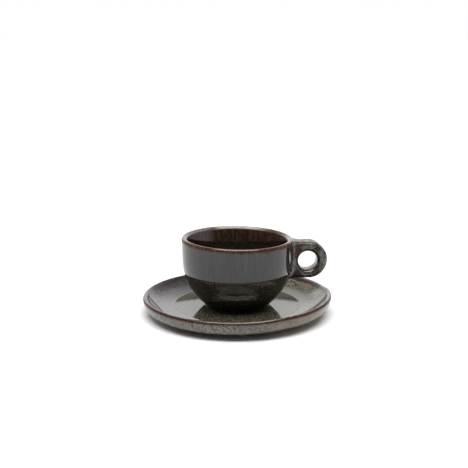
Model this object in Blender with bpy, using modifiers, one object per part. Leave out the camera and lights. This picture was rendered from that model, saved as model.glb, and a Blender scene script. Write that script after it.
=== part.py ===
"""Cappuccino cup with a ring handle, standing on its saucer.

Glazed stoneware in three fired pieces: the turned cup body, the cast handle that is luted to
its wall with slip, and the saucer that the cup stands loose on. Metres, +Z up. The origin is
the middle of the saucer's foot, on the surface that the saucer stands on. The handle points
along +X.
"""

import math

import bmesh
import bpy
from mathutils import Vector

MM = 0.001

# Cup body
CUP_RADIUS = 43.8 * MM
CUP_HEIGHT = 54.2 * MM
CUP_WALL = 4.5 * MM
CUP_BAND_HEIGHT = 25.3 * MM
CUP_SHOULDER_CURVE = 22.0 * MM
CUP_BAND_CURVE = 90.0 * MM
CUP_BASE_THICKNESS = 4.5 * MM
CUP_INNER_FLOOR_RADIUS = 13.0 * MM
CUP_FOOT_RADIUS = 25.4 * MM
CUP_FOOT_WIDTH = 4.0 * MM
CUP_FOOT_HEIGHT = 1.5 * MM
CUP_FOOT_EDGE = 0.8 * MM

# Leans are measured from the vertical: the upper wall, the shoulder's upper end, the bowl
# below the shoulder, and the bowl where it reaches the foot.
BAND_LEAN = math.radians(1.0)
SHOULDER_LEAN = math.radians(8.0)
BOWL_LEAN = math.radians(18.0)
BOWL_FOOT_LEAN = math.radians(48.0)

# Handle
HOLE_RADIUS = 7.7 * MM
HANDLE_RING_WALL = 6.9 * MM
HANDLE_END_WALL = 8.8 * MM
HANDLE_WEB = 3.7 * MM
HANDLE_THICKNESS = 15.0 * MM
HANDLE_EDGE = 2.5 * MM
HANDLE_DROP = 3.4 * MM
HANDLE_FLARE = 9.0 * MM
HANDLE_FLARE_SINK = 0.4 * MM
HANDLE_FILLET = 1.4 * MM
HANDLE_FILLET_REACH = 11.0 * MM

# Saucer
SAUCER_RADIUS = 75.0 * MM
SAUCER_HEIGHT = 14.6 * MM
SAUCER_LIP = 5.4 * MM
SAUCER_FLOOR_RADIUS = 50.3 * MM
SAUCER_FLOOR_THICKNESS = 4.0 * MM
SAUCER_UNDERSIDE_RADIUS = 62.0 * MM
SAUCER_FOOT_RADIUS = 48.0 * MM
SAUCER_FOOT_WIDTH = 5.0 * MM
SAUCER_FOOT_HEIGHT = 2.8 * MM
SAUCER_FOOT_EDGE = 0.8 * MM
SAUCER_LIP_LEAN = math.radians(30.0)
SAUCER_FLOOR_LEAN = math.radians(82.0)

# Lips, as shares of the wall's thickness: the tight curve to the outer side, the broad curve
# to the inner side, and the last tight turn into an upright inner side.
LIP_OUTER_CURVE = 0.36
SAUCER_OUTER_CURVE = 0.59
LIP_INNER_CURVE = 0.71
LIP_LAST_CURVE = 0.18
LIP_BROAD_TURN = math.radians(60.0)

# Clearances between fired pieces
SEAT_GAP = 0.3 * MM
LUTE_GAP = 0.3 * MM

# Facets
TURN_STEPS = 64
CURVE_STEPS = 8
DISH_STEPS = 10
LIP_STEPS = 3
EDGE_STEPS = 3
FACE_STEPS = 3
ACROSS_STEPS = 6

UPRIGHT = 0.0
LEVEL = math.radians(90.0)


# Profiles of turned pieces

def heading(lean):
    """Unit step inwards and downwards along a wall with this lean."""
    return Vector((-math.sin(lean), -math.cos(lean)))


def blend(start, start_lean, end, end_lean, start_pull=0.34, end_pull=0.34, steps=CURVE_STEPS):
    """Curve from start to end, leaving and arriving along the two leans, without its start."""
    start, end = Vector(start), Vector(end)
    chord = (end - start).length
    near = start + heading(start_lean) * chord * start_pull
    far = end - heading(end_lean) * chord * end_pull
    points = []
    for step in range(1, steps + 1):
        t = step / steps
        s = 1.0 - t
        points.append(s**3 * start + 3 * s * s * t * near + 3 * s * t * t * far + t**3 * end)
    return points


def arc(start, radius, start_lean, end_lean, steps=CURVE_STEPS):
    """Arc down a convex wall from start, turning from one lean to the other, without its start."""
    points = []
    for step in range(1, steps + 1):
        lean = start_lean + (end_lean - start_lean) * step / steps
        inwards = radius * (math.cos(start_lean) - math.cos(lean))
        down = radius * (math.sin(lean) - math.sin(start_lean))
        points.append(Vector((start[0] - inwards, start[1] - down)))
    return points


def rolled_lip(outer_radius, top, thickness, inner_lean=UPRIGHT, outer_curve=LIP_OUTER_CURVE):
    """Lip of a wall, from its inner side at this lean over the crown to its outer side."""
    outer, inner, last = (share * thickness for share in (outer_curve, LIP_INNER_CURVE, LIP_LAST_CURVE))
    crown = Vector((outer_radius - outer, top))
    inner_middle = crown - Vector((0.0, inner))
    away = Vector((-math.sin(LIP_BROAD_TURN), math.cos(LIP_BROAD_TURN)))
    last_middle = inner_middle + (inner - last) * away
    points = []
    for middle, bend, start, end, steps in (
        (last_middle, last, -LEVEL, -LIP_BROAD_TURN, 1),
        (inner_middle, inner, -LIP_BROAD_TURN, 0.0, LIP_STEPS),
        (crown - Vector((0.0, outer)), outer, 0.0, LEVEL, LIP_STEPS),
    ):
        start = max(start, inner_lean - LEVEL)
        if start >= end:
            continue
        for step in range(1 if points else 0, steps + 1):
            turn = start + (end - start) * step / steps
            points.append(middle + bend * Vector((math.sin(turn), math.cos(turn))))
    return points


def foot_ring(outer_radius, width, height, edge):
    """Foot from its outer side, across the face it stands on, to the recess inside it."""
    inner_radius = outer_radius - width
    return [
        Vector((outer_radius, edge)),
        Vector((outer_radius - edge, 0.0)),
        Vector((inner_radius + edge, 0.0)),
        Vector((inner_radius, edge)),
        Vector((inner_radius - edge, height)),
        Vector((0.0, height)),
    ]


def cup_outside():
    """Outer side of the cup from the lip down to the top of its foot, as radius and height."""
    lip_depth = LIP_OUTER_CURVE * CUP_WALL
    lip = Vector((CUP_RADIUS, CUP_HEIGHT - lip_depth))
    curve_height = CUP_BAND_CURVE * (math.sin(SHOULDER_LEAN) - math.sin(BAND_LEAN))
    straight = CUP_BAND_HEIGHT - lip_depth - curve_height
    band = lip + Vector((-straight * math.tan(BAND_LEAN), -straight))
    points = [lip, band]
    points += arc(points[-1], CUP_BAND_CURVE, BAND_LEAN, SHOULDER_LEAN)
    points += arc(points[-1], CUP_SHOULDER_CURVE, SHOULDER_LEAN, BOWL_LEAN)
    foot = (CUP_FOOT_RADIUS, CUP_FOOT_EDGE)
    points += blend(points[-1], BOWL_LEAN, foot, BOWL_FOOT_LEAN, 0.42, 0.46)
    return points


def cup_inside():
    """Inner side of the cup from the lip down to the middle of its floor."""
    wall_points = cup_outside()[1 : 2 + 2 * CURVE_STEPS]
    points = []
    for index, point in enumerate(wall_points):
        lean = BAND_LEAN
        if 0 < index <= CURVE_STEPS:
            lean += (SHOULDER_LEAN - BAND_LEAN) * index / CURVE_STEPS
        elif index > CURVE_STEPS:
            lean = SHOULDER_LEAN + (BOWL_LEAN - SHOULDER_LEAN) * (index - CURVE_STEPS) / CURVE_STEPS
        points.append(point + CUP_WALL * Vector((-math.cos(lean), math.sin(lean))))
    floor = (CUP_INNER_FLOOR_RADIUS, CUP_FOOT_HEIGHT + CUP_BASE_THICKNESS)
    points += blend(points[-1], BOWL_LEAN, floor, LEVEL, 0.4, 0.4)
    points.append(Vector((0.0, floor[1])))
    return points


def cup_profile():
    """Half section of the cup, from the middle of its floor over the lip to its recessed base."""
    lip = rolled_lip(CUP_RADIUS, CUP_HEIGHT, CUP_WALL)
    foot = foot_ring(CUP_FOOT_RADIUS, CUP_FOOT_WIDTH, CUP_FOOT_HEIGHT, CUP_FOOT_EDGE)
    return cup_inside()[::-1] + lip + cup_outside()[1:] + foot[1:]


def saucer_floor():
    """Height of the flat floor that the cup stands on."""
    return SAUCER_FOOT_HEIGHT + SAUCER_FLOOR_THICKNESS


def saucer_profile():
    """Half section of the saucer, from the middle of its floor over the lip to its recessed base."""
    floor_edge = Vector((SAUCER_FLOOR_RADIUS, saucer_floor()))
    lip = rolled_lip(SAUCER_RADIUS, SAUCER_HEIGHT, SAUCER_LIP, SAUCER_LIP_LEAN, SAUCER_OUTER_CURVE)
    dish = blend(lip[0], SAUCER_LIP_LEAN, floor_edge, SAUCER_FLOOR_LEAN, 0.24, 0.47, DISH_STEPS)
    underside = (SAUCER_UNDERSIDE_RADIUS, SAUCER_FOOT_HEIGHT)
    side = blend(lip[-1], UPRIGHT, underside, LEVEL, 0.44, 0.48)
    foot = foot_ring(SAUCER_FOOT_RADIUS, SAUCER_FOOT_WIDTH, SAUCER_FOOT_HEIGHT, SAUCER_FOOT_EDGE)
    foot_top = Vector((SAUCER_FOOT_RADIUS + SAUCER_FOOT_EDGE, SAUCER_FOOT_HEIGHT))
    return [Vector((0.0, saucer_floor()))] + dish[::-1] + lip + side + [foot_top] + foot


# Handle, as sections that run round its finger hole

def wall_radius(height):
    """Radius of the root face that the handle turns to the cup's wall at this height."""
    points = cup_outside()
    for upper, lower in zip(points, points[1:]):
        if lower.y <= height <= upper.y:
            share = (height - lower.y) / (upper.y - lower.y)
            return lower.x + (upper.x - lower.x) * share + LUTE_GAP
    return points[0].x + LUTE_GAP


def flare_centre(height):
    """Middle of the hollow curve, seen from above, that widens the handle into the wall."""
    reach = wall_radius(height) - HANDLE_FLARE_SINK + HANDLE_FLARE
    side = HANDLE_THICKNESS / 2 + HANDLE_FLARE
    return Vector((math.sqrt(reach * reach - side * side), side))


def half_thickness(x, height):
    """Half the handle's thickness at this distance from the cup's axis."""
    centre = flare_centre(height)
    past = min(max(centre.x - x, 0.0), HANDLE_FLARE)
    return centre.y - math.sqrt(HANDLE_FLARE * HANDLE_FLARE - past * past)


def flare_tip(height):
    """Point, seen from above, where the flare runs out on the wall."""
    radius = wall_radius(height)
    centre = flare_centre(height)
    reach = centre.length
    along = (radius * radius - HANDLE_FLARE * HANDLE_FLARE + reach * reach) / (2 * reach)
    across = math.sqrt(radius * radius - along * along)
    forward = centre / reach
    return along * forward + across * Vector((forward.y, -forward.x))


def on_wall(y, height):
    """Point of the handle's root face."""
    radius = wall_radius(height)
    return Vector((math.sqrt(radius * radius - y * y), y, height))


class HandleOutline:
    """The handle seen from its side: a ring with a top and bottom that run to the wall."""

    def __init__(self):
        self.end_radius = HOLE_RADIUS + HANDLE_RING_WALL
        self.top = CUP_HEIGHT - HANDLE_DROP
        self.bottom = self.top - 2 * self.end_radius
        self.hole = Vector((CUP_RADIUS + HANDLE_WEB + HOLE_RADIUS, self.top - self.end_radius))
        self.end = self.hole + Vector((HANDLE_END_WALL - HANDLE_RING_WALL, 0.0))

    def hole_point(self, towards):
        """Point of the hole's wall that faces a point of the outline, and the way to it."""
        way = (towards - self.hole).normalized()
        return self.hole + HOLE_RADIUS * way, way


def rounded_edge(depth_steps=EDGE_STEPS):
    """Depths below the edge and below the face for points that round it, as shares of its radius."""
    turns = [math.pi / 2 * step / depth_steps for step in range(depth_steps + 1)]
    return [(1.0 - math.sin(turn), 1.0 - math.cos(turn)) for turn in turns]


def closed_section(front, outer_point):
    """Front half of a section, points across its outer side, and the mirrored back half."""
    reach = -front[-1].y
    across = [reach * (2.0 * step / ACROSS_STEPS - 1.0) for step in range(1, ACROSS_STEPS)]
    back = [Vector((point.x, -point.y, point.z)) for point in reversed(front)]
    return front + [outer_point(y) for y in across] + back


def hole_and_face(outline, target, face_end):
    """Front half of a section from the hole's wall over its rounded edge to the face's outer end."""
    start, way = outline.hole_point(target)
    points = []
    for face_depth, edge_depth in rounded_edge():
        flat = start + way * HANDLE_EDGE * edge_depth
        points.append((flat, HANDLE_EDGE * face_depth))
    first = points[-1][0]
    for step in range(1, FACE_STEPS + 1):
        points.append((first.lerp(face_end, step / (FACE_STEPS + 1)), 0.0))
    return [Vector((flat.x, -(half_thickness(flat.x, flat.y) - depth), flat.y))
            for flat, depth in points]


def ring_section(outline, edge, normal):
    """Section that ends at a rounded outer edge, at a point of the outline with this normal."""
    way = outline.hole_point(edge)[1]
    slant = HANDLE_EDGE / way.dot(normal)
    front = hole_and_face(outline, edge, edge - way * slant)
    for edge_depth, face_depth in rounded_edge():
        flat = edge - way * slant * edge_depth
        front.append(Vector((flat.x, -(half_thickness(flat.x, flat.y) - HANDLE_EDGE * face_depth), flat.y)))
    return closed_section(front, lambda y: Vector((edge.x, y, edge.y)))


def corner_section(outline, height, down):
    """Section along the top or bottom edge's end on the wall; down points into the handle."""
    face_height = height + down * HANDLE_EDGE
    tip = flare_tip(face_height)
    front = hole_and_face(outline, Vector((tip.x, height)), Vector((tip.x, face_height)))
    for edge_depth, face_depth in rounded_edge():
        front.append(on_wall(-(tip.y - HANDLE_EDGE * face_depth), height + down * HANDLE_EDGE * edge_depth))
    return closed_section(front, lambda y: on_wall(y, height))


def root_section(outline, height):
    """Section that ends on the wall, between the handle's top and bottom edges."""
    tip = flare_tip(height)
    target = Vector((tip.x, height))
    front = hole_and_face(outline, target, target)
    for step in range(EDGE_STEPS + 1):
        front.append(on_wall(-(tip.y - HANDLE_EDGE * step / EDGE_STEPS), height))
    return closed_section(front, lambda y: on_wall(y, height))


def handle_sections():
    """Sections in order round the hole: the ring's end, the top, the root and the bottom."""
    outline = HandleOutline()
    sections = []
    end_steps, edge_stops, root_stops = 16, 6, 6
    for step in range(end_steps + 1):
        turn = math.pi * (step / end_steps - 0.5)
        normal = Vector((math.cos(turn), math.sin(turn)))
        sections.append(ring_section(outline, outline.end + outline.end_radius * normal, normal))

    def edge_run(height, normal_up, fillet):
        """Sections from the ring's end along the top or bottom edge, up its fillet to the wall."""
        corner = flare_tip(height + normal_up * (fillet - HANDLE_EDGE))
        run = []
        for stop in range(1, edge_stops):
            x = outline.end.x + (corner.x - outline.end.x) * stop / edge_stops
            near = max(1.0 - (x - corner.x) / HANDLE_FILLET_REACH, 0.0)
            normal = Vector((2 * fillet * near / HANDLE_FILLET_REACH, normal_up)).normalized()
            run.append(ring_section(outline, Vector((x, height + normal_up * fillet * near * near)), normal))
        return run

    root_top = outline.top + HANDLE_FILLET
    sections += edge_run(outline.top, 1.0, HANDLE_FILLET)
    sections.append(corner_section(outline, root_top, -1.0))
    highest = root_top - HANDLE_EDGE
    lowest = outline.bottom + HANDLE_EDGE
    for step in range(1, root_stops):
        sections.append(root_section(outline, highest + (lowest - highest) * step / root_stops))
    sections.append(corner_section(outline, outline.bottom, 1.0))
    sections += edge_run(outline.bottom, -1.0, 0.0)[::-1]
    return sections


# Building objects

def glaze(name, colour, roughness):
    """Fired glaze of one colour."""
    material = bpy.data.materials.new(name)
    material.use_nodes = True
    surface = material.node_tree.nodes["Principled BSDF"]
    surface.inputs["Base Color"].default_value = (*colour, 1.0)
    surface.inputs["Roughness"].default_value = roughness
    surface.inputs["Metallic"].default_value = 0.0
    return material


def placed(name, mesh, material, collection, parent=None):
    """Object of this mesh and material in the collection, at its parent."""
    mesh.materials.append(material)
    made = bpy.data.objects.new(name, mesh)
    collection.objects.link(made)
    made.parent = parent
    return made


def turned(name, profile, material, collection, parent=None):
    """Solid of revolution about Z from a half section that starts and ends on the axis."""
    mesh = bpy.data.meshes.new(name)
    edges = [(index, index + 1) for index in range(len(profile) - 1)]
    mesh.from_pydata([(point.x, 0.0, point.y) for point in profile], edges, [])
    made = placed(name, mesh, material, collection, parent)
    screw = made.modifiers.new("Turn", "SCREW")
    screw.axis = "Z"
    screw.steps = screw.render_steps = TURN_STEPS
    screw.use_merge_vertices = True
    screw.merge_threshold = 0.01 * MM
    screw.use_smooth_shade = True
    return made


def lofted(name, sections, material, collection, parent=None):
    """Closed ring of closed sections, each joined to the next and the last to the first."""
    shape = bmesh.new()
    rings = [[shape.verts.new(point) for point in section] for section in sections]
    for ring, following in zip(rings, rings[1:] + rings[:1]):
        for index in range(len(ring)):
            after = (index + 1) % len(ring)
            shape.faces.new((ring[index], ring[after], following[after], following[index]))
    bmesh.ops.recalc_face_normals(shape, faces=shape.faces)
    mesh = bpy.data.meshes.new(name)
    shape.to_mesh(mesh)
    shape.free()
    mesh.shade_smooth()
    mesh.set_sharp_from_angle(angle=math.radians(35.0))
    return placed(name, mesh, material, collection, parent)


def main():
    for leftover in list(bpy.data.objects):
        bpy.data.objects.remove(leftover, do_unlink=True)
    collection = bpy.data.collections.new("cappuccino_cup_with_saucer")
    bpy.context.scene.collection.children.link(collection)

    cup_glaze = glaze("cup_iron_glaze", (0.055, 0.045, 0.038), 0.16)
    handle_glaze = glaze("handle_iron_glaze", (0.05, 0.042, 0.034), 0.16)
    saucer_glaze = glaze("saucer_ash_glaze", (0.17, 0.165, 0.145), 0.18)

    turned("saucer", saucer_profile(), saucer_glaze, collection)

    cup = bpy.data.objects.new("cup_lift", None)
    cup.location = (0.0, 0.0, saucer_floor() + SEAT_GAP)
    collection.objects.link(cup)
    turned("cup_body", cup_profile(), cup_glaze, collection, cup)
    lofted("handle", handle_sections(), handle_glaze, collection, cup)


main()
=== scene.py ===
"""Cappuccino cup with a ring handle on its saucer: three fired pieces in a dark reactive glaze."""

import math

import bmesh
import bpy
from mathutils import Matrix, Vector


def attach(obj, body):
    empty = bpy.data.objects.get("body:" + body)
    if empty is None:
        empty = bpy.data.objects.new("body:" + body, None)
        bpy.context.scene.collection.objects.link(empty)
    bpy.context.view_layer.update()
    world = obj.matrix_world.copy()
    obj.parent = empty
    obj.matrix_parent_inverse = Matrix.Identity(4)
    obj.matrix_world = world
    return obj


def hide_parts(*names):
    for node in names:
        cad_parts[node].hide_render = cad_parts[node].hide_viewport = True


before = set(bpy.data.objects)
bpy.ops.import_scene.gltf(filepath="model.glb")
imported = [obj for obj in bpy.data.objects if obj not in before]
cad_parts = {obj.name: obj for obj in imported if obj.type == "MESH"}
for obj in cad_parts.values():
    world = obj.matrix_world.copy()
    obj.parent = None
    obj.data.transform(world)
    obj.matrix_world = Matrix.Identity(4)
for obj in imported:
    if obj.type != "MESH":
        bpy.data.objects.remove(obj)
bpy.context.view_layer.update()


# Saucer
# One stoneware plate, turned with a flat floor, a dished wall and a rounded lip, and fired on a
# bare foot ring. Its ash glaze lies speckled on the floor and breaks rust red over the lip.

MM = 0.001
UPRIGHT = 0.0
LEVEL = math.radians(90.0)

SAUCER_RADIUS = 75.0 * MM
SAUCER_HEIGHT = 14.9 * MM
SAUCER_LIP_OUTER = 1.7 * MM
SAUCER_LIP_INNER = 2.2 * MM
SAUCER_LIP_LAST = 0.8 * MM
SAUCER_LIP_LEAN = math.radians(29.0)
SAUCER_FLOOR_RADIUS = 50.3 * MM
SAUCER_FLOOR_LEAN = math.radians(83.0)
SAUCER_FLOOR_INSET = 0.4 * MM
SAUCER_FLOOR = 6.8 * MM
SAUCER_BELLY_RADIUS = 62.0 * MM
SAUCER_FOOT_RADIUS = 48.0 * MM
SAUCER_FOOT_WIDTH = 5.0 * MM
SAUCER_FOOT_HEIGHT = 2.8 * MM
SAUCER_RUN = 4.0 * MM
FOOT_EDGE = 0.8 * MM
RIGHT_LIFT = 1.1 * MM
RIGHT_END_LIFT = 0.9 * MM
LEFT_SINK = 0.4 * MM
BACK_LOSS = 0.7
OCHRE_X = 61.0 * MM
OCHRE_Y = 31.0 * MM
OCHRE_REACH = 5.0 * MM
RIGHT_CHORD, RIGHT_CHORD_REACH = (0.681, -0.320, -0.658), 40.9 * MM
LEFT_CHORD, LEFT_CHORD_REACH = (-0.745, -0.210, -0.633), 43.1 * MM
SAUCER_RELIEF = 0.0008 * MM

FLOOR_DARK, FLOOR_PALE = (0.008, 0.007, 0.0045, 1), (0.14, 0.122, 0.085, 1)
MAUVE_DARK, MAUVE_PALE = (0.012, 0.009, 0.009, 1), (0.085, 0.074, 0.075, 1)
OLIVE_DARK, OLIVE_PALE = (0.010, 0.011, 0.005, 1), (0.175, 0.153, 0.098, 1)
OCHRE_DARK, OCHRE_PALE = (0.11, 0.08, 0.045, 1), (0.27, 0.19, 0.10, 1)
SPOT_GREEN = (0.006, 0.009, 0.003, 1)
WALL_FOOT_GREY = (0.25, 0.24, 0.215, 1)
ASH_DARK, ASH_PALE = (0.040, 0.037, 0.032, 1), (0.165, 0.156, 0.134, 1)
ASH_WARM = (0.178, 0.136, 0.088, 1)
ASH_BLUE = (0.045, 0.053, 0.064, 1)
RUST_DARK, RUST_RED = (0.010, 0.0035, 0.0017, 1), (0.060, 0.020, 0.010, 1)
LIP_MAUVE = (0.15, 0.12, 0.11, 1)
LINE_BROWN = (0.018, 0.010, 0.007, 1)
SLIVER_REFLECTION_GREY = (0.055, 0.048, 0.042, 1)
SLIVER_REFLECTION_EDGE_BROWN = (0.014, 0.011, 0.008, 1)
FRONT_EDGE_HIGHLIGHT_PINK = (0.42, 0.36, 0.33, 1)
BARE_CLAY = (0.30, 0.235, 0.175, 1)


def heading(lean):
    """Unit step inwards and downwards along a wall that leans this far from upright."""
    return Vector((-math.sin(lean), -math.cos(lean)))


def swept(start, start_lean, end, end_lean, start_pull, end_pull, steps):
    """Points of a wall that leaves start along one lean and reaches end along another."""
    start, end = Vector(start), Vector(end)
    chord = (end - start).length
    near = start + heading(start_lean) * chord * start_pull
    far = end - heading(end_lean) * chord * end_pull
    points = []
    for step in range(1, steps + 1):
        t = step / steps
        s = 1.0 - t
        points.append(s**3 * start + 3 * s * s * t * near + 3 * s * t * t * far + t**3 * end)
    return points


def rolled_lip(radius, top, outer, inner, last, inner_lean=UPRIGHT):
    """Lip from its inner side, at this lean, over a broad inner curve and the crown to its outer side."""
    broad = math.radians(60.0)
    crown = Vector((radius - outer, top))
    hip = crown + (inner - last) * Vector((-math.sin(broad), math.cos(broad))) - Vector((0.0, inner))
    arcs = [(hip, last, -LEVEL, -broad, 5),
            (crown - Vector((0.0, inner)), inner, -broad, 0.0, 14),
            (crown - Vector((0.0, outer)), outer, 0.0, LEVEL, 12)]
    points = []
    for middle, bend, start, end, steps in arcs:
        start = max(start, inner_lean - LEVEL)
        for step in range(1 if points else 0, steps + 1) if start < end else []:
            turn = start + (end - start) * step / steps
            points.append(middle + bend * Vector((math.sin(turn), math.cos(turn))))
    return points


def foot_ring(radius, width, height, base, edge=FOOT_EDGE, steps=5):
    """Foot from its outer side round its two soft edges to the recess inside it."""
    turns = [math.pi / 2 * step / steps for step in range(steps + 1)]
    points = [Vector((radius - edge * (1 - math.cos(turn)), base + edge * (1 - math.sin(turn))))
              for turn in turns]
    inner = radius - width
    points += [Vector((inner + edge * (1 - math.sin(turn)), base + edge * (1 - math.cos(turn))))
               for turn in turns]
    points += [Vector((inner - edge * 0.4, base + (edge + height) / 2))]
    points += [Vector((inner * share - edge * share, base + height)) for share in (1.0, 0.6, 0.3, 0.0)]
    return points


def filled(points, longest):
    """The same section with its long straight runs cut into short ones."""
    finer = [points[0]]
    for before, after in zip(points, points[1:]):
        cuts = max(1, math.ceil((after - before).length / longest))
        finer += [before.lerp(after, cut / cuts) for cut in range(1, cuts + 1)]
    return finer


def turned(name, section, crown, steps=192):
    """Piece turned from a half section. Its points keep their way along it from the lip's crown."""
    ways = [0.0]
    for before, after in zip(section, section[1:]):
        ways.append(ways[-1] + (after - before).length)
    nearest = min(range(len(section)), key=lambda index: (section[index] - crown).length)
    shape = bmesh.new()
    from_lip = shape.verts.layers.float.new("from_lip")
    rings = []
    for point, way in zip(section, ways):
        on_axis = point.x <= 0.01 * MM
        turns = [0.0] if on_axis else [2 * math.pi * step / steps for step in range(steps)]
        ring = [shape.verts.new((point.x * math.cos(turn), point.x * math.sin(turn), point.y))
                for turn in turns]
        for vert in ring:
            vert[from_lip] = way - ways[nearest]
        rings.append(ring if len(ring) > 1 else ring * steps)
    for ring, following in zip(rings, rings[1:]):
        for index in range(steps):
            after = (index + 1) % steps
            corners = (ring[index], following[index], following[after], ring[after])
            shape.faces.new(list(dict.fromkeys(corners)))
    bmesh.ops.recalc_face_normals(shape, faces=shape.faces)
    mesh = bpy.data.meshes.new(name)
    shape.to_mesh(mesh)
    shape.free()
    mesh.shade_smooth()
    piece = bpy.data.objects.new(name, mesh)
    bpy.context.scene.collection.objects.link(piece)
    return piece


class Flow:
    """A value or colour on its way through a glaze's nodes. Sums and products add Math nodes."""

    def __init__(self, tree, socket=None):
        self.tree, self.socket = tree, socket

    def node(self, kind, settings=None, inputs=None, output=0):
        """Add a node with its settings first, then the values or links of its sockets."""
        made = self.tree.nodes.new(kind)
        for name, value in (settings or {}).items():
            if name == "stops":
                elements = made.color_ramp.elements
                while len(elements) < len(value):
                    elements.new(1.0)
                for element, (position, colour) in zip(elements, value):
                    element.position, element.color = position, colour
            else:
                setattr(made, name, value)
        for name, value in (inputs or {}).items():
            if isinstance(value, Flow):
                self.tree.links.new(value.socket, made.inputs[name])
            else:
                made.inputs[name].default_value = value
        return Flow(self.tree, made.outputs[output])

    def math(self, operation, first, second=0.0):
        """Add a Math node on two values."""
        return self.node("ShaderNodeMath", {"operation": operation}, {0: first, 1: second})

    def __add__(self, other):
        return self.math("ADD", self, other)

    def __radd__(self, other):
        return self.math("ADD", other, self)

    def __sub__(self, other):
        return self.math("SUBTRACT", self, other)

    def __rsub__(self, other):
        return self.math("SUBTRACT", other, self)

    def __mul__(self, other):
        return self.math("MULTIPLY", self, other)

    def __rmul__(self, other):
        return self.math("MULTIPLY", other, self)

    def __pow__(self, other):
        return self.math("POWER", self, other)

    def most(self, other):
        """The larger of two values."""
        return self.math("MAXIMUM", self, other)

    def off(self, middle):
        """Distance to either side of this middle."""
        return self.math("ABSOLUTE", self - middle)

    def rise(self, low, high):
        """Share that climbs softly from 0 at low to 1 at high."""
        return self.node("ShaderNodeMapRange", {"interpolation_type": "SMOOTHSTEP"},
                         {"Value": self, "From Min": low, "From Max": high})

    def between(self, below, above):
        """Colour that goes from below to above as this share goes from 0 to 1."""
        return self.node("ShaderNodeMix", {"data_type": "RGBA"}, {0: self, 6: below, 7: above}, 2)

    def stretched(self, factors):
        """Place in which patterns are drawn out along the axes with small factors."""
        return self.node("ShaderNodeVectorMath", {"operation": "MULTIPLY"}, {0: self, 1: factors})

    def clouds(self, size, detail=2.0, roughness=0.5):
        """Soft random patches of about this size in metres, from 0 to 1 about a middle of 0.5."""
        return self.node("ShaderNodeTexNoise", None,
                         {"Vector": self, "Scale": 1.0 / size, "Detail": detail, "Roughness": roughness})


def fired(name):
    """Glossy material, its surface, and the place on the piece that its patterns start from."""
    material = bpy.data.materials.new(name)
    material.use_nodes = True
    flow = Flow(material.node_tree)
    surface = material.node_tree.nodes["Principled BSDF"]
    surface.inputs["IOR"].default_value = 1.5
    place = flow.node("ShaderNodeTexCoord", output="Object")
    return material, surface, place


def laid(surface, colour, roughness, relief, depth, dull):
    """Lead a glaze's colour, roughness and relief of this depth to its surface, dull in places."""
    bump = relief.node("ShaderNodeBump", None,
                       {"Height": relief, "Strength": 1.0, "Distance": depth}, "Normal")
    for flow, socket in ((colour, "Base Color"), (roughness, "Roughness"), (bump, "Normal")):
        flow.tree.links.new(flow.socket, surface.inputs[socket])
    glossy = Flow(relief.tree, surface.outputs["BSDF"])
    matt = relief.node("ShaderNodeBsdfPrincipled", None,
                       {"Base Color": colour, "Roughness": 0.5, "Specular IOR Level": 0.1, "Normal": bump})
    both = relief.node("ShaderNodeMixShader", None, {0: dull, 1: glossy, 2: matt})
    relief.tree.links.new(both.socket, relief.tree.nodes["Material Output"].inputs["Surface"])


def coordinates(place):
    """The three coordinates of a place."""
    return [place.node("ShaderNodeSeparateXYZ", None, {0: place}, axis) for axis in "XYZ"]


def way_from_lip(place):
    """Way along the section from the lip's crown: below 0 on the inside, above 0 on the outside."""
    return place.node("ShaderNodeAttribute", {"attribute_name": "from_lip"}, None, "Fac")


def eased(value, low, high):
    """Share that climbs softly from 0 at low to 1 at high, for a plain number."""
    share = min(max((value - low) / (high - low), 0.0), 1.0)
    return share * share * (3.0 - 2.0 * share)


saucer_lip = rolled_lip(SAUCER_RADIUS, SAUCER_HEIGHT, SAUCER_LIP_OUTER, SAUCER_LIP_INNER,
                        SAUCER_LIP_LAST, SAUCER_LIP_LEAN)
saucer_dish = swept(saucer_lip[0], SAUCER_LIP_LEAN, (SAUCER_FLOOR_RADIUS, SAUCER_FLOOR), SAUCER_FLOOR_LEAN,
                    start_pull=0.22, end_pull=0.45, steps=40)
saucer_side = swept(saucer_lip[-1], UPRIGHT, (SAUCER_BELLY_RADIUS, SAUCER_FOOT_HEIGHT), LEVEL,
                    start_pull=0.44, end_pull=0.48, steps=24)
saucer_foot = foot_ring(SAUCER_FOOT_RADIUS, SAUCER_FOOT_WIDTH, SAUCER_FOOT_HEIGHT, 0.0)
saucer_floor = [Vector((0.0, SAUCER_FLOOR)),
                Vector((SAUCER_FLOOR_RADIUS - SAUCER_FLOOR_INSET, SAUCER_FLOOR))]
saucer_section = saucer_floor + saucer_dish[::-1] + saucer_lip + saucer_side
saucer_section += [Vector((SAUCER_FOOT_RADIUS + FOOT_EDGE, SAUCER_FOOT_HEIGHT))] + saucer_foot
saucer_crown = Vector((SAUCER_RADIUS - SAUCER_LIP_OUTER, SAUCER_HEIGHT))
saucer = turned("saucer_skin", filled(saucer_section, SAUCER_RUN), saucer_crown)

# The fire has warped the rim: up at the right, most of all at its end, less so at the back, and a
# little down at the left.
for vert in saucer.data.vertices:
    lift = RIGHT_LIFT * eased(vert.co.x, -5 * MM, 40 * MM)
    lift += RIGHT_END_LIFT * eased(vert.co.x, 45 * MM, 73 * MM)
    lift *= 1.0 - BACK_LOSS * eased(vert.co.y, 2 * MM, 20 * MM)
    lift -= LEFT_SINK * eased(vert.co.x, -5 * MM, -50 * MM)
    vert.co.z += lift * eased(vert.co.xy.length, 56 * MM, 70 * MM)

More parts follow.
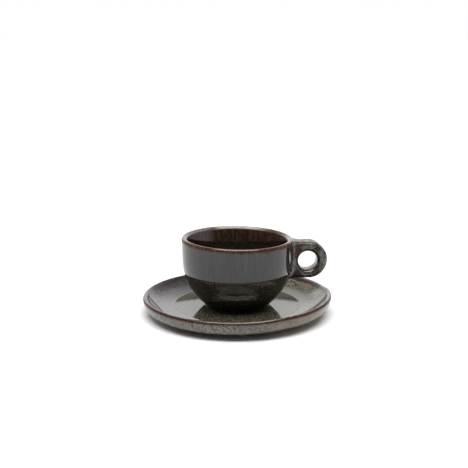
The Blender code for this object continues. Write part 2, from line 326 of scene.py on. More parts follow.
saucer_material, surface, place = fired("saucer_ash_glaze")
x, y, z = coordinates(place)
way = way_from_lip(place)
radius = (x * x + y * y) ** 0.5
speckle = place.clouds(0.55 * MM, 2.0, 0.6)
grain = place.clouds(0.9 * MM, 3.0, 0.7)
flecks = place.clouds(1.6 * MM, 3.0, 0.6)
patches = place.clouds(14 * MM, 3.0, 0.55)
drift = place.clouds(30 * MM, 2.0, 0.5)
bearing = x.math("ARCTAN2", y, x)
drawn_out = x.node("ShaderNodeCombineXYZ", None, {0: bearing * 0.06, 1: radius * 0.25})
rays = drawn_out.clouds(1.1 * MM, 3.0, 0.6)

# The dish: a speckled floor and a rayed wall, mauve at the left, olive and ochre at the right.
floor_colour = grain.rise(0.38, 0.68).between(FLOOR_DARK, FLOOR_PALE)
mauve = (flecks + (rays - 0.5) * 0.7).rise(0.34, 0.68).between(MAUVE_DARK, MAUVE_PALE)
olive = (flecks + (rays - 0.5) * 0.5).rise(0.38, 0.62).between(OLIVE_DARK, OLIVE_PALE)
ochre = speckle.rise(0.35, 0.65).between(OCHRE_DARK, OCHRE_PALE)
to_right = (x + drift * 0.06).rise(10 * MM, 60 * MM)
wall_colour = to_right.between(mauve, olive)
wall_colour = ((patches - 0.5) * to_right).rise(0.08, 0.24).between(wall_colour, ochre)
patch_x = (x + (flecks - 0.5) * 0.008 - OCHRE_X) * (1 / OCHRE_REACH)
patch_y = (y - OCHRE_Y) * (1 / OCHRE_REACH)
ochre_patch = (patch_x * patch_x + patch_y * patch_y).rise(1.4, 0.4)
ochre_patch = ochre_patch * (flecks + speckle * 0.6).rise(0.55, 0.95)
wall_colour = ochre_patch.between(wall_colour, ochre)
spots = place.clouds(1.3 * MM, 2.0, 0.6).rise(0.47, 0.56) * to_right
spots = spots * radius.rise(68 * MM, 62 * MM) * y.rise(2 * MM, 14 * MM)
wall_colour = (spots * 0.85).between(wall_colour, SPOT_GREEN)
# Painted shade: the wall high at the back left darkened towards dark mauve.
back_left_shade = y.rise(36 * MM, 42 * MM) * (1 - to_right)
wall_colour = (back_left_shade * 0.4).between(wall_colour, MAUVE_DARK)
on_wall = (radius + flecks * 0.006).rise(50 * MM, 60 * MM)
dish_colour = on_wall.between(floor_colour, wall_colour)
wall_foot = radius.rise(49.5 * MM, 52 * MM) * (radius + flecks * 0.012).rise(70 * MM, 60 * MM)
wall_foot = wall_foot * to_right * y.rise(-2 * MM, 8 * MM)
dish_colour = (wall_foot * 0.6).between(dish_colour, WALL_FOOT_GREY)

# The outer side: grey ash with warm and bluish clouds, worn through to rust over the lip.
ash = flecks.rise(0.36, 0.62).between(ASH_DARK, ASH_PALE)
warm = patches * 0.5 + flecks * 0.5 + speckle * 0.4 + x.rise(5 * MM, 32 * MM) * 0.12
ash = warm.rise(0.66, 0.86).between(ash, ASH_WARM)
ash = (flecks + drift * 0.6).rise(0.86, 0.98).between(ash, ASH_BLUE)
colour = way.rise(0.0, 2.4 * MM).between(dish_colour, ash)
worn = 1 - (way + (speckle - 0.5) * 0.003).rise(2.0 * MM, 3.8 * MM)
broken = (way + (flecks - 0.5) * 0.002).rise(0.2 * MM, 1.2 * MM) * worn
colour = broken.between(colour, flecks.rise(0.36, 0.66).between(RUST_DARK, RUST_RED))


def past(normal, reach):
    """Distance past a plane that lies this far out along its normal."""
    return x * normal[0] + y * normal[1] + z * normal[2] - reach


# The lip's inner side: a mauve crown and a brown line at the back, a painted dark reflection past a chord at
# both ends, and a painted pale highlight along the front.
lip_top = way.rise(-2.2 * MM, -1.4 * MM) * way.rise(1.2 * MM, 0.4 * MM)
lip_top = lip_top * to_right * y.rise(4 * MM, 14 * MM)
colour = (lip_top * 0.7).between(colour, LIP_MAUVE)
inner_line = way.rise(-5.0 * MM, -3.8 * MM) * way.rise(-1.4 * MM, -2.2 * MM) * y.rise(-12 * MM, 4 * MM)
colour = (inner_line * (to_right * 0.2 + 0.75)).between(colour, LINE_BROWN)
past_chord = past(RIGHT_CHORD, RIGHT_CHORD_REACH).most(past(LEFT_CHORD, LEFT_CHORD_REACH))
# Painted reflection: dark slivers inside the lip past a chord at both ends, darkest along the chord, and
# dulled there.
sliver_reflection = past_chord.rise(-0.2 * MM, 0.3 * MM) * way.rise(-2.2 * MM, -2.8 * MM) * y.rise(-38 * MM, -33 * MM)
sliver_reflection_edge = sliver_reflection * past_chord.rise(1.6 * MM, 0.9 * MM)
colour = (sliver_reflection * 0.6).between(colour, SLIVER_REFLECTION_GREY)
colour = (sliver_reflection_edge * 0.85).between(colour, SLIVER_REFLECTION_EDGE_BROWN)
# Painted highlight: a pale pink line inside the lip along the front.
front_edge_highlight = way.rise(-5.0 * MM, -3.0 * MM) * way.rise(-0.2 * MM, -1.0 * MM) * y.rise(-38 * MM, -46 * MM)
colour = front_edge_highlight.between(colour, FRONT_EDGE_HIGHLIGHT_PINK)

bare = z.rise(0.9 * MM, 0.5 * MM)
colour = bare.between(colour, BARE_CLAY)
roughness = 0.025 + (flecks - 0.5) * 0.02 + radius.rise(51 * MM, 54 * MM) * 0.10 + bare * 0.6
relief = place.clouds(9 * MM, 1.0) + speckle * 0.02
dull = way.rise(1.1 * MM, 1.6 * MM) * worn * 0.9 + sliver_reflection * 0.35 + sliver_reflection_edge * 0.4
laid(surface, colour, roughness, relief, SAUCER_RELIEF, dull)
saucer.data.materials.append(saucer_material)
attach(saucer, "saucer")
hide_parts("saucer")


# Cup body
# One turned stoneware bowl with an upright band over a round shoulder, standing loose on the
# saucer. Its iron glaze is streaked by the fire, and breaks rust red over the lip.

CUP_STAND = 7.1 * MM
CUP_RADIUS = 43.8 * MM
CUP_HEIGHT = 54.2 * MM
CUP_WALL = 4.5 * MM
CUP_LIP_OUTER = 1.6 * MM
CUP_LIP_INNER = 3.2 * MM
CUP_LIP_LAST = 0.8 * MM
CUP_BAND_HEIGHT = 25.3 * MM
CUP_BAND_CURVE = 90.0 * MM
CUP_SHOULDER_CURVE = 22.0 * MM
CUP_FLOOR = 6.0 * MM
CUP_FLOOR_RADIUS = 13.0 * MM
CUP_FOOT_RADIUS = 25.4 * MM
CUP_FOOT_WIDTH = 4.0 * MM
CUP_FOOT_HEIGHT = 1.5 * MM
CUP_FOOT_GAP = 0.04 * MM
CUP_RUN = 2.5 * MM
BAND_LEAN = math.radians(1.0)
SHOULDER_LEAN = math.radians(8.0)
BOWL_LEAN = math.radians(18.0)
BOWL_FOOT_LEAN = math.radians(48.0)
CUP_TILT = 0.0165
CUP_TILT_START = 36.0 * MM
DEEP_REFLECTION_CURVE_LEFT, DEEP_REFLECTION_CURVE_RIGHT = 3.2 * MM, 1.0 * MM
CUP_RELIEF = 0.01 * MM

BAND_DARK, BAND_PALE = (0.016, 0.0145, 0.0145, 1), (0.032, 0.0295, 0.031, 1)
BAND_RUN = (0.022, 0.017, 0.015, 1)
BOWL_DARK, BOWL_PALE = (0.010, 0.008, 0.006, 1), (0.032, 0.029, 0.021, 1)
REFLECTION_PATCH_DARK, REFLECTION_PATCH_PALE = (0.04, 0.036, 0.028, 1), (0.105, 0.096, 0.075, 1)
REFLECTION_STREAK_DARK = (0.009, 0.008, 0.006, 1)
BROWN_DARK, BROWN_PALE = (0.022, 0.014, 0.009, 1), (0.085, 0.048, 0.029, 1)
RED_BROWN_DARK, RED_BROWN_PALE = (0.026, 0.014, 0.0095, 1), (0.108, 0.057, 0.039, 1)
SMOKE_REFLECTION_DARK, SMOKE_REFLECTION_PALE = (0.115, 0.094, 0.094, 1), (0.18, 0.15, 0.152, 1)
DEEP_REFLECTION_DARK, DEEP_REFLECTION_PALE = (0.013, 0.010, 0.007, 1), (0.028, 0.022, 0.015, 1)
INNER_LIP_HIGHLIGHT = (0.30, 0.27, 0.255, 1)
CUP_RUST_LEFT, CUP_RUST_RIGHT = (0.070, 0.025, 0.0075, 1), (0.064, 0.0145, 0.0075, 1)
CUP_RUST_DARK = (0.014, 0.004, 0.0018, 1)


def rounded(start, radius, start_lean, end_lean, steps):
    """Points of a convex wall below start, turning from one lean to the other, with their leans."""
    points = []
    for step in range(1, steps + 1):
        lean = start_lean + (end_lean - start_lean) * step / steps
        inwards = radius * (math.cos(start_lean) - math.cos(lean))
        down = radius * (math.sin(lean) - math.sin(start_lean))
        points.append((Vector((start.x - inwards, start.y - down)), lean))
    return points


cup_top = CUP_STAND + CUP_HEIGHT
cup_lip = rolled_lip(CUP_RADIUS, cup_top, CUP_LIP_OUTER, CUP_LIP_INNER, CUP_LIP_LAST)
lip_side = cup_lip[-1]
band_fall = CUP_BAND_HEIGHT - (cup_top - lip_side.y)
band_fall -= CUP_BAND_CURVE * (math.sin(SHOULDER_LEAN) - math.sin(BAND_LEAN))
cup_wall = [(lip_side + Vector((-band_fall * math.tan(BAND_LEAN), -band_fall)), BAND_LEAN)]
cup_wall += rounded(cup_wall[-1][0], CUP_BAND_CURVE, BAND_LEAN, SHOULDER_LEAN, 16)
cup_wall += rounded(cup_wall[-1][0], CUP_SHOULDER_CURVE, SHOULDER_LEAN, BOWL_LEAN, 8)
cup_outside = [lip_side] + [point for point, lean in cup_wall]
cup_outside += swept(cup_outside[-1], BOWL_LEAN, (CUP_FOOT_RADIUS, CUP_STAND + FOOT_EDGE), BOWL_FOOT_LEAN,
                     start_pull=0.42, end_pull=0.46, steps=40)
cup_inside = [point + CUP_WALL * Vector((-math.cos(lean), math.sin(lean))) for point, lean in cup_wall]
cup_inside += swept(cup_inside[-1], BOWL_LEAN, (CUP_FLOOR_RADIUS, CUP_STAND + CUP_FLOOR), LEVEL,
                    start_pull=0.4, end_pull=0.4, steps=32)
cup_inside += [Vector((0.0, CUP_STAND + CUP_FLOOR))]
cup_foot = foot_ring(CUP_FOOT_RADIUS, CUP_FOOT_WIDTH, CUP_FOOT_HEIGHT, SAUCER_FLOOR + CUP_FOOT_GAP)
cup_section = cup_inside[::-1] + cup_lip + cup_outside[1:] + cup_foot[1:]
cup_crown = Vector((CUP_RADIUS - CUP_LIP_OUTER, cup_top))
cup_body = turned("cup_body_skin", filled(cup_section, CUP_RUN), cup_crown)

# The fire has tilted the upper wall, so that the lip is higher at the left.
for vert in cup_body.data.vertices:
    vert.co.z -= CUP_TILT * vert.co.x * eased(vert.co.z, CUP_TILT_START, cup_top)

cup_material, surface, place = fired("cup_iron_glaze")
x, y, z = coordinates(place)
way = way_from_lip(place)
streaks = place.stretched((1.0, 1.0, 0.06)).clouds(1.1 * MM, 3.0, 0.6)
runs = place.stretched((1.0, 1.0, 0.12)).clouds(5 * MM, 2.0, 0.5)
mottle = place.stretched((1.0, 1.0, 0.22)).clouds(1.5 * MM, 3.0, 0.65) * 0.6 + streaks * 0.4
speckle = place.clouds(0.6 * MM, 2.0, 0.6)
flecks = place.clouds(2.0 * MM, 3.0, 0.6)

# The outside: a streaked grey band over a flecked bowl, with a painted pale reflection and a painted dark
# reflection line low at the front.
band = streaks.rise(0.3, 0.7).between(BAND_DARK, BAND_PALE)
band = runs.rise(0.52, 0.72).between(band, BAND_RUN)
bowl = flecks.rise(0.4, 0.66).between(BOWL_DARK, BOWL_PALE)
climb = z * 0.956 + y * 0.293
in_front = y.rise(-16 * MM, -20 * MM)
# Painted reflection: a paler band low on the bowl's front.
low_reflection_patch = climb.rise(8.3 * MM, 8.8 * MM) * climb.rise(12.4 * MM, 11.6 * MM)
low_reflection_patch = low_reflection_patch * x.off(-4 * MM).rise(19 * MM, 14 * MM) * in_front
bowl = low_reflection_patch.between(bowl, flecks.rise(0.4, 0.66).between(REFLECTION_PATCH_DARK, REFLECTION_PATCH_PALE))
# Painted reflection: a dark line just above the paler band.
low_reflection_streak = climb.rise(12.0 * MM, 13.2 * MM) * climb.rise(15.2 * MM, 14.0 * MM)
low_reflection_streak = low_reflection_streak * x.off(-1 * MM).rise(14 * MM, 9 * MM) * in_front
bowl = (low_reflection_streak * 0.7).between(bowl, REFLECTION_STREAK_DARK)
below_band = (way + (flecks - 0.5) * 0.003).rise(26.0 * MM, 27.5 * MM)
outside = below_band.between(band, bowl)

# The inside: brown, redder at the right, smoky grey glaze and painted reflection at both ends, a painted
# highlight inside the back of the lip, and a painted dark reflection further down.
browning = (mottle + (flecks - 0.5) * 0.4).rise(0.36, 0.66)
brown = browning.between(BROWN_DARK, BROWN_PALE)
brown = x.rise(8 * MM, 26 * MM).between(brown, browning.between(RED_BROWN_DARK, RED_BROWN_PALE))
# Partly smoky grey glaze and partly painted reflection: pale grey at the left towards the back and at the
# right end of the inside.
smoke_and_reflection = mottle.rise(0.36, 0.66).between(SMOKE_REFLECTION_DARK, SMOKE_REFLECTION_PALE)
to_back = y.rise(-5 * MM, 5 * MM)
uneven = x + (runs - 0.5) * 0.004
smoky_and_reflection = (x + (mottle - 0.5) * 0.010).rise(-18.5 * MM, -22.5 * MM) * x.rise(-38.5 * MM, -36 * MM) * to_back
smoky_and_reflection = smoky_and_reflection + uneven.rise(-15.5 * MM, -17.5 * MM) * x.rise(-21.5 * MM, -19.5 * MM) * to_back * 0.4
smoky_and_reflection = smoky_and_reflection + uneven.rise(34.5 * MM, 38 * MM) * 0.6
inside = smoky_and_reflection.between(brown, smoke_and_reflection)
# Painted dark reflection: the lower inside goes nearly black below a tilted line that curves up towards the
# ends.
curve = x.rise(5 * MM, -5 * MM) * (DEEP_REFLECTION_CURVE_LEFT - DEEP_REFLECTION_CURVE_RIGHT) + DEEP_REFLECTION_CURVE_RIGHT
curve = curve * (x * (1 / (40 * MM))).off(0.0) ** 4.0
deep_dark_reflection = (z + y * 0.235 + x * 0.016 - curve).rise(58.4 * MM, 57.2 * MM)
inside = deep_dark_reflection.between(inside, flecks.rise(0.35, 0.65).between(DEEP_REFLECTION_DARK, DEEP_REFLECTION_PALE))
# Painted highlight: a pale band inside the lip at the back.
inner_lip_highlight = way.rise(-4.4 * MM, -3.2 * MM) * way.rise(0.0, -0.8 * MM) * y.rise(24 * MM, 36 * MM)
inner_lip_highlight = inner_lip_highlight * x.rise(-19 * MM, -12 * MM) * x.rise(31 * MM, 24 * MM)
inside = (inner_lip_highlight * 0.6).between(inside, INNER_LIP_HIGHLIGHT)
colour = way.rise(-1.0 * MM, 1.0 * MM).between(inside, outside)

# The lip, where the glaze has run down and left rust.
worn = 1 - (way + (streaks - 0.5) * 0.007).rise(2.9 * MM, 4.1 * MM)
broken = (way + (speckle - 0.5) * 0.002).rise(-0.8 * MM, 0.2 * MM) * worn
rust = x.rise(-30 * MM, 20 * MM).between(CUP_RUST_LEFT, CUP_RUST_RIGHT)
rust = (flecks + runs * 0.5).rise(0.46, 0.94).between(CUP_RUST_DARK, rust)
colour = broken.between(colour, rust)

bare = z.rise(SAUCER_FLOOR + 0.22 * MM, SAUCER_FLOOR + 0.12 * MM)
colour = bare.between(colour, BARE_CLAY)
roughness = 0.05 + (flecks - 0.5) * 0.04 + bare * 0.6
relief = place.clouds(9 * MM, 1.0) + streaks * 0.05
dull = way.rise(1.4 * MM, 1.9 * MM) * worn * 0.96 + low_reflection_streak * 0.25
laid(surface, colour, roughness, relief, CUP_RELIEF, dull)
cup_body.data.materials.append(cup_material)
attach(cup_body, "cup")
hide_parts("cup_body")


# Handle
# A thick ring, cast on its own and luted to the band with slip before the firing, so that its
# root flares into the wall with no seam. The same glaze thins to rust along its rounded edges.

HOLE_RADIUS = 7.7 * MM
RING_WALL = 6.9 * MM
RING_END_WALL = 7.8 * MM
RING_WEB = 4.2 * MM
HOLE_DROP = 0.6 * MM
RING_THICKNESS = 15.0 * MM
RING_EDGE = 2.5 * MM
RING_DROP = 3.4 * MM
FLARE = 9.0 * MM
FLARE_SINK = 0.06 * MM
ROOT_SINK = 1.2 * MM
TOP_FILLET = 1.4 * MM
FILLET_REACH = 11.0 * MM
EDGE_BOW = 1.4
EDGE_THINNEST = 0.3
END_STEPS = 48
ROOT_STEPS = 20
HANDLE_RELIEF = 0.015 * MM

IRON_DARK, IRON_PALE = (0.006, 0.005, 0.003, 1), (0.040, 0.034, 0.026, 1)
CLOUD_GREY = (0.100, 0.097, 0.082, 1)
EDGE_RUST = (0.050, 0.016, 0.008, 1)
ROOT_SHADE_RED_DARK, ROOT_SHADE_RED = (0.016, 0.006, 0.003, 1), (0.068, 0.026, 0.014, 1)
ISLAND_DARK, ISLAND_BROWN = (0.010, 0.006, 0.003, 1), (0.060, 0.036, 0.022, 1)
SHADE_WEDGE_DARK = (0.014, 0.011, 0.007, 1)
MOTTLE_BROWN = (0.022, 0.012, 0.008, 1)
SPECK_BLACK = (0.003, 0.0025, 0.002, 1)
CREST_REFLECTION_DARK = (0.012, 0.008, 0.006, 1)

ring_reach = HOLE_RADIUS + RING_WALL
ring_top = cup_top - RING_DROP
ring_bottom = ring_top - 2 * ring_reach
hole_middle = Vector((CUP_RADIUS + RING_WEB + HOLE_RADIUS, ring_top - ring_reach - HOLE_DROP))
end_middle = hole_middle + Vector((RING_END_WALL - RING_WALL, HOLE_DROP))


def wall_radius(height):
    """Radius of the cup's outer wall at this height."""
    for upper, lower in zip(cup_outside, cup_outside[1:]):
        if lower.y <= height <= upper.y:
            share = (height - lower.y) / (upper.y - lower.y)
            return lower.x + (upper.x - lower.x) * share
    return CUP_RADIUS


def flare_middle(height):
    """Middle of the hollow curve, seen from above, that widens the root into the wall."""
    reach = wall_radius(height) - FLARE_SINK + FLARE
    side = RING_THICKNESS / 2 + FLARE
    return Vector((math.sqrt(reach * reach - side * side), side))


def half_thickness(x, height):
    """Half the handle's thickness at this distance from the cup's axis."""
    middle = flare_middle(height)
    past = min(max(middle.x - x, 0.0), FLARE)
    return middle.y - math.sqrt(FLARE * FLARE - past * past)


def flare_tip(height):
    """Point, seen from above, where the flare has sunk deepest into the wall."""
    middle = flare_middle(height)
    return middle * (1.0 - FLARE / middle.length)


def in_wall(y, height):
    """Point of the root's hidden face, inside the cup's wall."""
    radius = wall_radius(height) - ROOT_SINK
    return Vector((math.sqrt(radius * radius - y * y), y, height))


def soft_edge(steps=10):
    """Shares of an edge's radius by which its points lie below the face and inside the edge."""
    turns = [math.pi / 2 * step / steps for step in range(steps + 1)]
    return [(1.0 - math.sin(turn) ** EDGE_BOW, 1.0 - max(math.cos(turn), 0.0) ** EDGE_BOW) for turn in turns]


def thinning(share):
    """How far the glaze has thinned at this share of the way over an edge."""
    return 1.0 - abs(share - EDGE_THINNEST) / (1.0 - EDGE_THINNEST)


def both_sides(front, across, edging):
    """Closed section from its front half and the points across its outer side."""
    back = [Vector((point.x, -point.y, point.z)) for point in reversed(front)]
    return list(zip(front + across + back, edging + [0.0] * len(across) + edging[::-1]))


def hole_and_face(target, face_end, steps=10):
    """Front half from the hole's wall over its soft edge to the outer end of the face."""
    way = (target - hole_middle).normalized()
    start = hole_middle + HOLE_RADIUS * way
    points, edging = [], []
    for inner, edge in soft_edge():
        points.append((start + way * RING_EDGE * edge, RING_EDGE * inner))
        edging.append(thinning(edge))
    first = points[-1][0]
    for step in range(1, steps + 1):
        points.append((first.lerp(face_end, step / (steps + 1)), 0.0))
        edging.append(0.0)
    front = [Vector((flat.x, depth - half_thickness(flat.x, flat.y), flat.y)) for flat, depth in points]
    return front, edging


def across_shares(steps=8):
    """Shares from -1 to 1 of the points between the two edges of an outer side."""
    return [2.0 * step / steps - 1.0 for step in range(1, steps)]


def ring_section(edge, normal):
    """Section with a soft outer edge, at a point of the outline with this normal."""
    way = (edge - hole_middle).normalized()
    slant = RING_EDGE / way.dot(normal)
    front, edging = hole_and_face(edge, edge - way * slant)
    for outer, face in soft_edge():
        flat = edge - way * slant * outer
        front.append(Vector((flat.x, RING_EDGE * face - half_thickness(flat.x, flat.y), flat.y)))
        edging.append(thinning(face))
    reach = -front[-1].y
    across = [Vector((edge.x, reach * share, edge.y)) for share in across_shares()]
    return both_sides(front, across, edging)


def root_section(height, soft=0.0):
    """Section that runs into the wall. At the top and bottom soft turns its face over an edge."""
    face_height = height + soft
    tip = flare_tip(face_height)
    front, edging = hole_and_face(Vector((tip.x, height)), Vector((tip.x, face_height)))
    for outer, face in soft_edge():
        level = height + soft * outer
        sunk = in_wall(RING_EDGE * face - tip.y, level)
        front.append(sunk if outer < 1.0 else Vector((tip.x, -tip.y, level)))
        edging.append(0.0)
    reach = -front[-1].y
    return both_sides(front, [in_wall(reach * share, height) for share in across_shares()], edging)


def edge_run(height, normal_up, fillet, stops=20):
    """Sections along the top or bottom edge, from the ring's end to a hollow fillet at the root."""
    corner = flare_tip(height + normal_up * (fillet - RING_EDGE))
    run = []
    for stop in range(1, stops):
        x = end_middle.x + (corner.x - end_middle.x) * stop / stops
        near = max(1.0 - (x - corner.x) / FILLET_REACH, 0.0)
        normal = Vector((2 * fillet * near / FILLET_REACH, normal_up)).normalized()
        run.append(ring_section(Vector((x, height + normal_up * fillet * near * near)), normal))
    return run


sections = []
for step in range(END_STEPS + 1):
    turn = math.pi * (step / END_STEPS - 0.5)
    normal = Vector((math.cos(turn), math.sin(turn)))
    sections.append(ring_section(end_middle + ring_reach * normal, normal))
sections += edge_run(ring_top, 1.0, TOP_FILLET)
root_top = ring_top + TOP_FILLET
root_fall = root_top - ring_bottom - 2 * RING_EDGE
sections.append(root_section(root_top, -RING_EDGE))
for step in range(1, ROOT_STEPS):
    sections.append(root_section(root_top - RING_EDGE - root_fall * step / ROOT_STEPS))
sections.append(root_section(ring_bottom, RING_EDGE))
sections += edge_run(ring_bottom, -1.0, 0.0)[::-1]

shape = bmesh.new()
edging = shape.verts.layers.float.new("edging")
rings = []
for section in sections:
    ring = []
    for point, share in section:
        vert = shape.verts.new(point)
        vert[edging] = share
        ring.append(vert)
    rings.append(ring)
for ring, following in zip(rings, rings[1:] + rings[:1]):
    for index in range(len(ring)):
        after = (index + 1) % len(ring)
        shape.faces.new((ring[index], ring[after], following[after], following[index]))
bmesh.ops.recalc_face_normals(shape, faces=shape.faces)
handle_mesh = bpy.data.meshes.new("handle_skin")
shape.to_mesh(handle_mesh)
shape.free()
handle_mesh.shade_smooth()
handle = bpy.data.objects.new("handle_skin", handle_mesh)
bpy.context.scene.collection.objects.link(handle)

handle_material, surface, place = fired("handle_iron_glaze")
x, y, z = coordinates(place)
edge_share = place.node("ShaderNodeAttribute", {"attribute_name": "edging"}, None, "Fac")
speckle = place.clouds(0.6 * MM, 2.0, 0.6)
flecks = place.clouds(1.8 * MM, 3.0, 0.6)
patches = place.clouds(5 * MM, 2.0, 0.5)
above = z + (flecks - 0.5) * 0.003 - hole_middle.y
along = x + (flecks - 0.5) * 0.004
on_face = above.rise(13.6 * MM, 12.8 * MM)

# Iron glaze with grey clouds, thinned to rust along the edges.
colour = flecks.rise(0.36, 0.68).between(IRON_DARK, IRON_PALE)
colour = (patches + speckle * 0.5).rise(0.66, 0.94).between(colour, CLOUD_GREY)
thin = (edge_share + (flecks - 0.5) * 1.6).rise(0.7, 1.4)
colour = (thin * 0.7).between(colour, EDGE_RUST)


def island(middle, height, half_length, half_height):
    """Share of a brown island on the ring's face, from its middle, height over the hole and half sizes."""
    aside, up = (along - middle) * (1 / half_length), (above - height) * (1 / half_height)
    return (aside * aside + up * up).rise(1.3, 0.6)


# Dull places: red glaze darkened as painted shade above the root, a painted shade wedge low beside it, two
# brown islands and loose mottling.
# Partly red glaze and partly painted shade: the upper corner above the root.
root_red_shade = along.rise(51.6 * MM, 49.2 * MM) * x.rise(44.4 * MM, 45.6 * MM)
root_red_shade = root_red_shade * above.rise(3.5 * MM, 5.5 * MM) * on_face
# Painted shade: a dark wedge in the lower corner beside the root.
shade_wedge = ((-5.4 * MM - above) * 0.8 - along.off(46.6 * MM)).rise(-0.5 * MM, 0.7 * MM)
islands = island(61.9 * MM, 9.0 * MM, 3.2 * MM, 2.2 * MM) + island(62.3 * MM, -9.3 * MM, 4.0 * MM, 2.2 * MM)
islands = islands * on_face
mottled = (patches + (flecks - 0.5) * 0.8).rise(0.42, 0.30)
specks = place.clouds(1.3 * MM, 1.0).rise(0.66, 0.72)
mixed = flecks.rise(0.35, 0.65)
colour = root_red_shade.between(colour, mixed.between(ROOT_SHADE_RED_DARK, ROOT_SHADE_RED))
colour = islands.between(colour, mixed.between(ISLAND_DARK, ISLAND_BROWN))
colour = shade_wedge.between(colour, SHADE_WEDGE_DARK)
colour = mottled.between(colour, MOTTLE_BROWN)
colour = specks.between(colour, SPECK_BLACK)

# Painted dark reflection: a dark line along the top's front edge.
crest_reflection = y.rise(-6.4 * MM, -6.1 * MM) * y.rise(-4.7 * MM, -5.1 * MM)
crest_reflection = crest_reflection * z.rise(ring_top - 1.0 * MM, ring_top - 0.7 * MM) * x.rise(62 * MM, 58 * MM)
colour = (crest_reflection * 0.8).between(colour, CREST_REFLECTION_DARK)

roughness = 0.045 + (flecks - 0.5) * 0.04
relief = place.clouds(2.4 * MM, 2.0)
dull = (root_red_shade + shade_wedge + islands).most(mottled)
dull = (dull.math("MINIMUM", dull, 1.0) * 0.85).most((1 - on_face) * 0.25).most(crest_reflection * 0.75)
laid(surface, colour, roughness, relief, HANDLE_RELIEF, dull)
handle.data.materials.append(handle_material)
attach(handle, "cup")
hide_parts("handle")


# Setting
# A white table that runs out to white, under a broad soft light overhead and a small one at the
# left, with a bright wall of light behind and the camera a little above the cup's lip.

TABLE_REACH = 20.0
TABLE_DROP = 0.03 * MM
TABLE_WHITE = (0.92, 0.92, 0.92, 1)
BLACK, WHITE = (0, 0, 0, 1), (1, 1, 1, 1)
SHADE_LIGHT = (0.05, 0.05, 0.05, 1)
GAP_EDGE_BROWN = (0.09, 0.075, 0.055, 1)
GAP_BROWN = (0.34, 0.285, 0.23, 1)
NEAR_PANEL_LIGHT = (10.0, 9.4, 8.4, 1)
FAR_PANEL_LIGHT = (13.0, 12.2, 11.0, 1)
GAP_LEFT, GAP_RIGHT = -4.15, 4.95
GAP_FOOT, GAP_TOP = 15.66, 16.80
GAP_FOOT_BEND, GAP_TOP_BEND = 0.071, 0.018
GAP_END_SOFT, GAP_EDGE_SOFT = 0.15, 0.04
GAP_RIM = 0.16
CEILING_PLACE = (0.02, -0.24, 1.0)
LOW_LIGHT_PLACE = Vector((-0.5, 0.2, 0.3))
LOW_LIGHT_AIM = Vector((-0.09, 0.0, 0.0))
VIEW_TURN = math.radians(4.0)
VIEW_TILT = math.radians(12.75)
CAMERA_PLACE = (-0.0025, -0.6921, 0.2205)
SENSOR_WIDTH = 36.0
PICTURE_PIXELS, FOCAL_PIXELS = 468.0, 900.0

table_mesh = bpy.data.meshes.new("table_top")
table_corners = [(TABLE_REACH * east, TABLE_REACH * north, -TABLE_DROP)
                 for east, north in ((-1, -1), (1, -1), (1, 1), (-1, 1))]
table_mesh.from_pydata(table_corners, [], [(0, 1, 2, 3)])
table = bpy.data.objects.new("table_top", table_mesh)
bpy.context.scene.collection.objects.link(table)
table_material = bpy.data.materials.new("white_table")
table_material.use_nodes = True
table_paint = table_material.node_tree.nodes["Principled BSDF"]
table_paint.inputs["Base Color"].default_value = TABLE_WHITE
table_paint.inputs["Roughness"].default_value = 1.0
table_paint.inputs["Specular IOR Level"].default_value = 0.0
x, y, z = coordinates(Flow(table_material.node_tree).node("ShaderNodeTexCoord", output="Object"))
far_off = ((x * x + y * y) ** 0.5).rise(0.2, 0.7).between(BLACK, WHITE)
table_material.node_tree.links.new(far_off.socket, table_paint.inputs["Emission Color"])
table_paint.inputs["Emission Strength"].default_value = 1.0
table_mesh.materials.append(table_material)

studio = bpy.data.worlds.new("studio")
bpy.context.scene.world = studio
studio.use_nodes = True
background = studio.node_tree.nodes["Background"]
light = Flow(studio.node_tree)
east, north, up = coordinates(light.node("ShaderNodeTexCoord", output="Generated"))
ahead = north * math.cos(VIEW_TURN) + east * math.sin(VIEW_TURN)
aside = east * math.cos(VIEW_TURN) - north * math.sin(VIEW_TURN)


def climbing(stops):
    """Light that changes with the height above the table, from stops in degrees."""
    ramp = [(math.sin(math.radians(degrees)), (shade, shade, shade, 1)) for degrees, shade in stops]
    return up.node("ShaderNodeValToRGB", {"stops": ramp}, {"Fac": up})


front_light = climbing([(0, 0.15), (20, 0.1), (55, 0.1), (66, 0.4), (90, 0.4)])
side_light = climbing([(0, 1.0), (18, 1.0), (35, 0.5), (90, 0.4)])
back_light = climbing([(0, 1.3), (8, 1.25), (15, 1.6), (18.5, 1.65), (24, 1.0), (34, 0.45), (60, 0.3),
                       (90, 0.4)])
glow = ahead.rise(-0.5, 0.1).between(front_light, side_light)
glow = ahead.rise(0.72, 0.86).between(glow, back_light)
swing = aside.math("ARCTAN2", aside, ahead) * (180 / math.pi)
height = up.math("ARCSINE", up) * (180 / math.pi) + swing.most(0.0) * 0.02


def gap(inset):
    """Share of the two dark gaps in the light behind the cup, drawn in by this many degrees."""
    bend = swing * swing
    right = swing.rise(-1.0, 1.0)
    foot = height - bend * (GAP_FOOT_BEND - right * 0.025 + bend * right * 0.0008)
    top = height - bend * GAP_TOP_BEND
    left_end, right_end = GAP_LEFT + inset, GAP_RIGHT - inset
    share = bend.rise(4.0, 5.0) * swing.rise(left_end, left_end + GAP_END_SOFT)
    share = share * swing.rise(right_end, right_end - GAP_END_SOFT)
    share = share * foot.rise(GAP_FOOT + inset, GAP_FOOT + inset + GAP_EDGE_SOFT)
    return share * top.rise(GAP_TOP - inset, GAP_TOP - inset - GAP_EDGE_SOFT)


def panel(half_width, soft, near, far):
    """Share of a light panel overhead, from its slopes to the sides, to the camera and away from it."""
    share = (aside.off(0.0) - up * half_width).rise(soft, -soft) * up.rise(0.1, 0.2)
    return share * (ahead - up * near).rise(-0.02, 0.02) * (ahead - up * far).rise(0.02, -0.02)


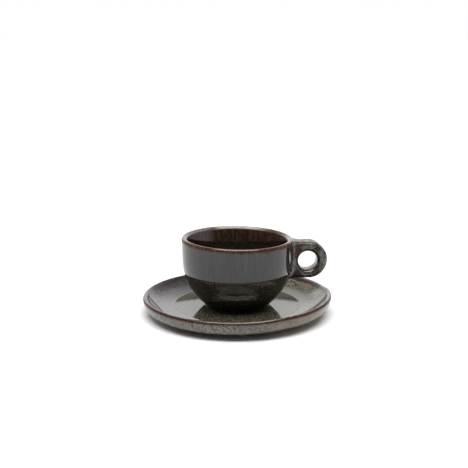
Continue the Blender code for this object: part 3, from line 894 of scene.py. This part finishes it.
mirrored = light.node("ShaderNodeLightPath", None, None, "Is Glossy Ray")
seen = light.node("ShaderNodeLightPath", None, None, "Is Camera Ray")
glow = gap(0.0).between(glow, GAP_EDGE_BROWN)
glow = gap(GAP_RIM).between(glow, GAP_BROWN)
glow = (up.rise(0.45, 0.05) * (1 - mirrored) * 0.7).between(glow, SHADE_LIGHT)
glow = (panel(0.62, 0.2, -0.46, -0.16) * mirrored).between(glow, NEAR_PANEL_LIGHT)
glow = (panel(0.32, 0.06, 0.1, 0.5) * mirrored).between(glow, FAR_PANEL_LIGHT)
glow = seen.between(glow, WHITE)
studio.node_tree.links.new(glow.socket, background.inputs["Color"])
background.inputs["Strength"].default_value = 1.0


def hung(name, lamp):
    """Object for a lamp that neither the glaze nor the camera sees."""
    hanging = bpy.data.objects.new(name, lamp)
    hanging.visible_glossy = False
    hanging.visible_camera = False
    bpy.context.scene.collection.objects.link(hanging)
    return hanging


ceiling = bpy.data.lights.new("ceiling_light", "AREA")
ceiling.shape = "RECTANGLE"
ceiling.size = 1.3
ceiling.size_y = 0.7
ceiling.energy = 16.8
hung("ceiling_light", ceiling).location = CEILING_PLACE

low_left = bpy.data.lights.new("low_left_light", "AREA")
low_left.shape = "DISK"
low_left.size = 0.25
low_left.energy = 0.2
low_left_turn = (LOW_LIGHT_AIM - LOW_LIGHT_PLACE).to_track_quat("-Z", "Y").to_matrix().to_4x4()
hung("low_left_light", low_left).matrix_world = Matrix.Translation(LOW_LIGHT_PLACE) @ low_left_turn

eye = bpy.data.cameras.new("camera")
eye.lens = SENSOR_WIDTH * FOCAL_PIXELS / PICTURE_PIXELS
eye.sensor_width = SENSOR_WIDTH
eye.clip_end = 100.0
camera = bpy.data.objects.new("camera", eye)
bpy.context.scene.collection.objects.link(camera)
camera.matrix_world = (Matrix.Rotation(-VIEW_TURN, 4, "Z") @ Matrix.Translation(CAMERA_PLACE)
                       @ Matrix.Rotation(LEVEL - VIEW_TILT, 4, "X"))
bpy.context.scene.camera = camera
bpy.context.scene.view_settings.view_transform = "Standard"
